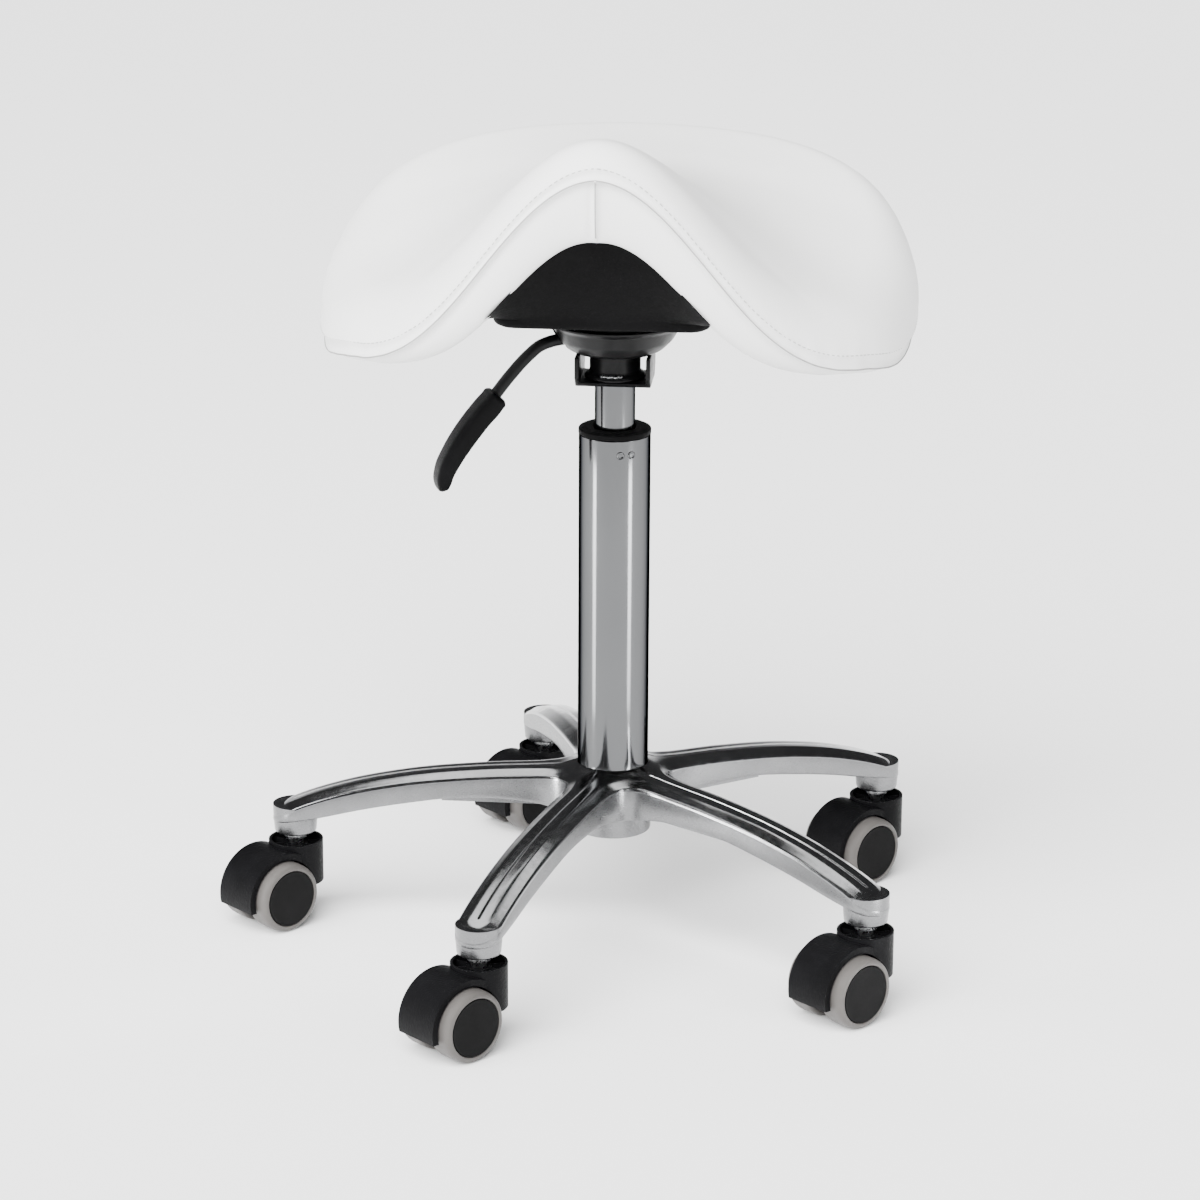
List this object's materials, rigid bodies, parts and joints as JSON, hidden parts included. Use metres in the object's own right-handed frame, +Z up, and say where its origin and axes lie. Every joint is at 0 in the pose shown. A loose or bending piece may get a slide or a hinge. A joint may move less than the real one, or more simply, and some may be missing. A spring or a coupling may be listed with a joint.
{
  "type": "dentist stool",
  "caption": "Saddle-seat dentist stool: padded white saddle on a chrome gas lift, with a height lever and a polished star base on twin-wheel casters.",
  "frame": {"origin": "on the floor, on the axis of the column", "axes": "+Z up the column, -Y towards the front of the saddle, +X to the right seen from the front"},
  "size_m": [0.4848, 0.5059, 0.5986],
  "materials": {
    "polished_aluminium": "polished casting, satin on the arm sides",
    "chrome": "bright plate",
    "black_plastic": "fine moulded grain",
    "caster_plastic": "coarse moulded grain",
    "steel": "turned steel",
    "zinc_steel": "zinc plate",
    "black_steel": "satin black powder coat",
    "white_leather": "fine-grained coated leather",
    "grey_tyre": "smooth grey polyurethane"
  },
  "bodies": {
    "base": {"star_base": "polished_aluminium", "column_tube": "chrome", "guide_bush": "black_plastic", "thrust_washer_lower": "steel", "thrust_ball_cage": "steel", "stem_1": "steel", "stem_2": "steel", "stem_3": "steel", "stem_4": "steel", "stem_5": "steel"},
    "piston": {"piston_rod": "chrome", "thrust_washer_upper": "steel", "retaining_clip": "steel"},
    "seat": {"gas_cylinder": "chrome", "cone_socket": "black_steel", "u_bracket": "black_steel", "bowl": "black_steel", "seat_plate": "black_steel", "plate_screw_1": "zinc_steel", "plate_screw_2": "zinc_steel", "plate_screw_3": "zinc_steel", "plate_screw_4": "zinc_steel", "seat_pan": "black_plastic", "cushion": "white_leather", "lever_bracket": "black_steel", "lever_pivot_pin": "steel"},
    "valve": {"valve_pin": "steel"},
    "lever": {"lever_rod": "black_steel", "lever_grip": "black_plastic"},
    "caster_1": {"hood_1": "caster_plastic", "axle_1": "steel"},
    "wheel_1_near": {"wheel_core_1_near": "caster_plastic", "tyre_1_near": "grey_tyre"},
    "wheel_1_far": {"wheel_core_1_far": "caster_plastic", "tyre_1_far": "grey_tyre"},
    "caster_2": {"hood_2": "caster_plastic", "axle_2": "steel"},
    "wheel_2_near": {"wheel_core_2_near": "caster_plastic", "tyre_2_near": "grey_tyre"},
    "wheel_2_far": {"wheel_core_2_far": "caster_plastic", "tyre_2_far": "grey_tyre"},
    "caster_3": {"hood_3": "caster_plastic", "axle_3": "steel"},
    "wheel_3_near": {"wheel_core_3_near": "caster_plastic", "tyre_3_near": "grey_tyre"},
    "wheel_3_far": {"wheel_core_3_far": "caster_plastic", "tyre_3_far": "grey_tyre"},
    "caster_4": {"hood_4": "caster_plastic", "axle_4": "steel"},
    "wheel_4_near": {"wheel_core_4_near": "caster_plastic", "tyre_4_near": "grey_tyre"},
    "wheel_4_far": {"wheel_core_4_far": "caster_plastic", "tyre_4_far": "grey_tyre"},
    "caster_5": {"hood_5": "caster_plastic", "axle_5": "steel"},
    "wheel_5_near": {"wheel_core_5_near": "caster_plastic", "tyre_5_near": "grey_tyre"},
    "wheel_5_far": {"wheel_core_5_far": "caster_plastic", "tyre_5_far": "grey_tyre"}
  },
  "joints": [
    {"name": "seat_swivel", "type": "hinge", "parent": "base", "child": "piston", "pos_m": [0, 0, 0.3], "axis": [0, 0, 1], "continuous": true},
    {"name": "height_slide", "type": "slide", "parent": "piston", "child": "seat", "axis": [0, 0, 1], "range_m": [-0.025, 0.12]},
    {"name": "lever_hinge", "type": "hinge", "parent": "seat", "child": "lever", "pos_m": [-0.02537, -0.00924, 0.435], "axis": [-0.342, 0.9397, 0], "range_deg": [0, 8], "stiffness_Nm_per_rad": 1},
    {"name": "valve_slide", "type": "slide", "parent": "seat", "child": "valve", "axis": [0, 0, 1], "range_m": [-0.0045, 0], "stiffness_N_per_m": 300},
    {"name": "caster_swivel_1", "type": "hinge", "parent": "base", "child": "caster_1", "pos_m": [-0.2278, 0, 0.05], "axis": [0, 0, 1], "continuous": true},
    {"name": "wheel_spin_1_near", "type": "hinge", "parent": "caster_1", "child": "wheel_1_near", "pos_m": [-0.23274, -0.02927, 0.025], "axis": [0.7408, -0.6717, 0], "continuous": true},
    {"name": "wheel_spin_1_far", "type": "hinge", "parent": "caster_1", "child": "wheel_1_far", "pos_m": [-0.25645, -0.00777, 0.025], "axis": [0.7408, -0.6717, 0], "continuous": true},
    {"name": "caster_swivel_2", "type": "hinge", "parent": "base", "child": "caster_2", "pos_m": [-0.07039, -0.21665, 0.05], "axis": [0, 0, 1], "continuous": true},
    {"name": "wheel_spin_2_near", "type": "hinge", "parent": "caster_2", "child": "wheel_2_near", "pos_m": [-0.07533, -0.24592, 0.025], "axis": [0.7408, -0.6717, 0], "continuous": true},
    {"name": "wheel_spin_2_far", "type": "hinge", "parent": "caster_2", "child": "wheel_2_far", "pos_m": [-0.09904, -0.22442, 0.025], "axis": [0.7408, -0.6717, 0], "continuous": true},
    {"name": "caster_swivel_3", "type": "hinge", "parent": "base", "child": "caster_3", "pos_m": [0.18429, -0.1339, 0.05], "axis": [0, 0, 1], "continuous": true},
    {"name": "wheel_spin_3_near", "type": "hinge", "parent": "caster_3", "child": "wheel_3_near", "pos_m": [0.17935, -0.16317, 0.025], "axis": [0.7408, -0.6717, 0], "continuous": true},
    {"name": "wheel_spin_3_far", "type": "hinge", "parent": "caster_3", "child": "wheel_3_far", "pos_m": [0.15565, -0.14167, 0.025], "axis": [0.7408, -0.6717, 0], "continuous": true},
    {"name": "caster_swivel_4", "type": "hinge", "parent": "base", "child": "caster_4", "pos_m": [0.18429, 0.1339, 0.05], "axis": [0, 0, 1], "continuous": true},
    {"name": "wheel_spin_4_near", "type": "hinge", "parent": "caster_4", "child": "wheel_4_near", "pos_m": [0.17935, 0.10463, 0.025], "axis": [0.7408, -0.6717, 0], "continuous": true},
    {"name": "wheel_spin_4_far", "type": "hinge", "parent": "caster_4", "child": "wheel_4_far", "pos_m": [0.15565, 0.12612, 0.025], "axis": [0.7408, -0.6717, 0], "continuous": true},
    {"name": "caster_swivel_5", "type": "hinge", "parent": "base", "child": "caster_5", "pos_m": [-0.07039, 0.21665, 0.05], "axis": [0, 0, 1], "continuous": true},
    {"name": "wheel_spin_5_near", "type": "hinge", "parent": "caster_5", "child": "wheel_5_near", "pos_m": [-0.07533, 0.18738, 0.025], "axis": [0.7408, -0.6717, 0], "continuous": true},
    {"name": "wheel_spin_5_far", "type": "hinge", "parent": "caster_5", "child": "wheel_5_far", "pos_m": [-0.09904, 0.20888, 0.025], "axis": [0.7408, -0.6717, 0], "continuous": true}
  ],
  "couplings": [
    {"joint": "valve_slide", "follows": "lever_hinge", "m_per_rad": -0.027}
  ]
}
